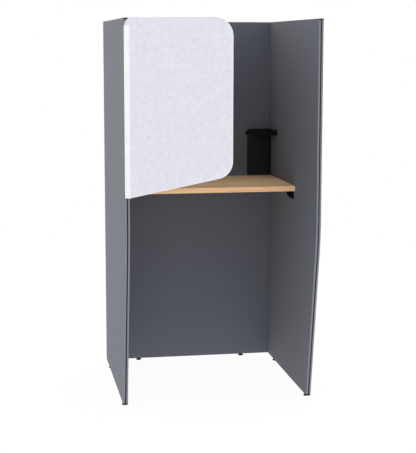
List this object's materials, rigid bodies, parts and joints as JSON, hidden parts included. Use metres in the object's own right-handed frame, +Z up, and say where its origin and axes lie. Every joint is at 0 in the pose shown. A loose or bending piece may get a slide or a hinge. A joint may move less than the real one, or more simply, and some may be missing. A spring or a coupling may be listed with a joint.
{
  "type": "office booth",
  "caption": "Standing-height office booth with grooved grey panels, oak desk on steel brackets, hinged felt privacy screen, corner shelf and adjustable feet.",
  "frame": {"origin": "on the floor under the middle of the three panels' footprint, halfway along their depth", "axes": "+Z up, +X to the right as seen from the open front, the front faces -Y"},
  "size_m": [0.91, 1.2285, 1.8],
  "materials": {
    "panel_cloth": "matte",
    "panel_core": "matte",
    "desk_oak": "satin",
    "desk_edge": "satin",
    "screen_felt": "matte",
    "white_channel": "satin",
    "foot_plastic": "matte",
    "black_steel": "satin",
    "black_plastic": "satin",
    "black_screws": "satin",
    "zinc_steel": "satin"
  },
  "bodies": {
    "booth": {"back_core": "panel_core", "back_inner_skin": "panel_cloth", "back_outer_skin": "panel_cloth", "bracket_desk_screws": "black_screws", "bracket_wall_screws": "black_screws", "corner_shelf": "black_steel", "desk_board": "desk_oak", "desk_bracket_left_front": "black_steel", "desk_bracket_left_rear": "black_steel", "desk_bracket_right_front": "black_steel", "desk_bracket_right_rear": "black_steel", "desk_edge_band": "desk_edge", "foot_inserts": "zinc_steel", "hinge_pin_lower": "zinc_steel", "hinge_pin_upper": "zinc_steel", "hinge_tongue_lower": "zinc_steel", "hinge_tongue_upper": "zinc_steel", "left_core": "panel_core", "left_inner_skin": "panel_cloth", "left_outer_skin": "panel_cloth", "panel_cams": "zinc_steel", "panel_joint_bolts": "zinc_steel", "right_core": "panel_core", "right_inner_skin": "panel_cloth", "right_outer_skin": "panel_cloth", "shelf_end_block_back": "black_plastic", "shelf_end_block_side": "black_plastic", "shelf_hook": "black_steel", "shelf_prop_plate": "black_steel", "shelf_prop_screws": "black_screws", "shelf_screws": "black_screws"},
    "screen": {"hinge_leaf_lower": "zinc_steel", "hinge_leaf_upper": "zinc_steel", "screen_channel": "white_channel", "screen_felt": "screen_felt", "screen_rivets": "zinc_steel"},
    "foot_back_left": {"foot_pad_back_left": "foot_plastic", "foot_stem_back_left": "black_screws"},
    "foot_back_right": {"foot_pad_back_right": "foot_plastic", "foot_stem_back_right": "black_screws"},
    "foot_left_rear": {"foot_pad_left_rear": "foot_plastic", "foot_stem_left_rear": "black_screws"},
    "foot_left_front": {"foot_pad_left_front": "foot_plastic", "foot_stem_left_front": "black_screws"},
    "foot_right_rear": {"foot_pad_right_rear": "foot_plastic", "foot_stem_right_rear": "black_screws"},
    "foot_right_front": {"foot_pad_right_front": "foot_plastic", "foot_stem_right_front": "black_screws"}
  },
  "joints": [
    {"name": "screen_swing", "type": "hinge", "parent": "booth", "child": "screen", "pos_m": [-0.441, -0.506, 1.387], "axis": [0, 0, -1], "range_deg": [-25, 65]},
    {"name": "foot_back_left_adjust", "type": "slide", "parent": "booth", "child": "foot_back_left", "axis": [0, 0, 1], "range_m": [-0.015, 0]},
    {"name": "foot_back_right_adjust", "type": "slide", "parent": "booth", "child": "foot_back_right", "axis": [0, 0, 1], "range_m": [-0.015, 0]},
    {"name": "foot_left_rear_adjust", "type": "slide", "parent": "booth", "child": "foot_left_rear", "axis": [0, 0, 1], "range_m": [-0.015, 0]},
    {"name": "foot_left_front_adjust", "type": "slide", "parent": "booth", "child": "foot_left_front", "axis": [0, 0, 1], "range_m": [-0.015, 0]},
    {"name": "foot_right_rear_adjust", "type": "slide", "parent": "booth", "child": "foot_right_rear", "axis": [0, 0, 1], "range_m": [-0.015, 0]},
    {"name": "foot_right_front_adjust", "type": "slide", "parent": "booth", "child": "foot_right_front", "axis": [0, 0, 1], "range_m": [-0.015, 0]}
  ]
}
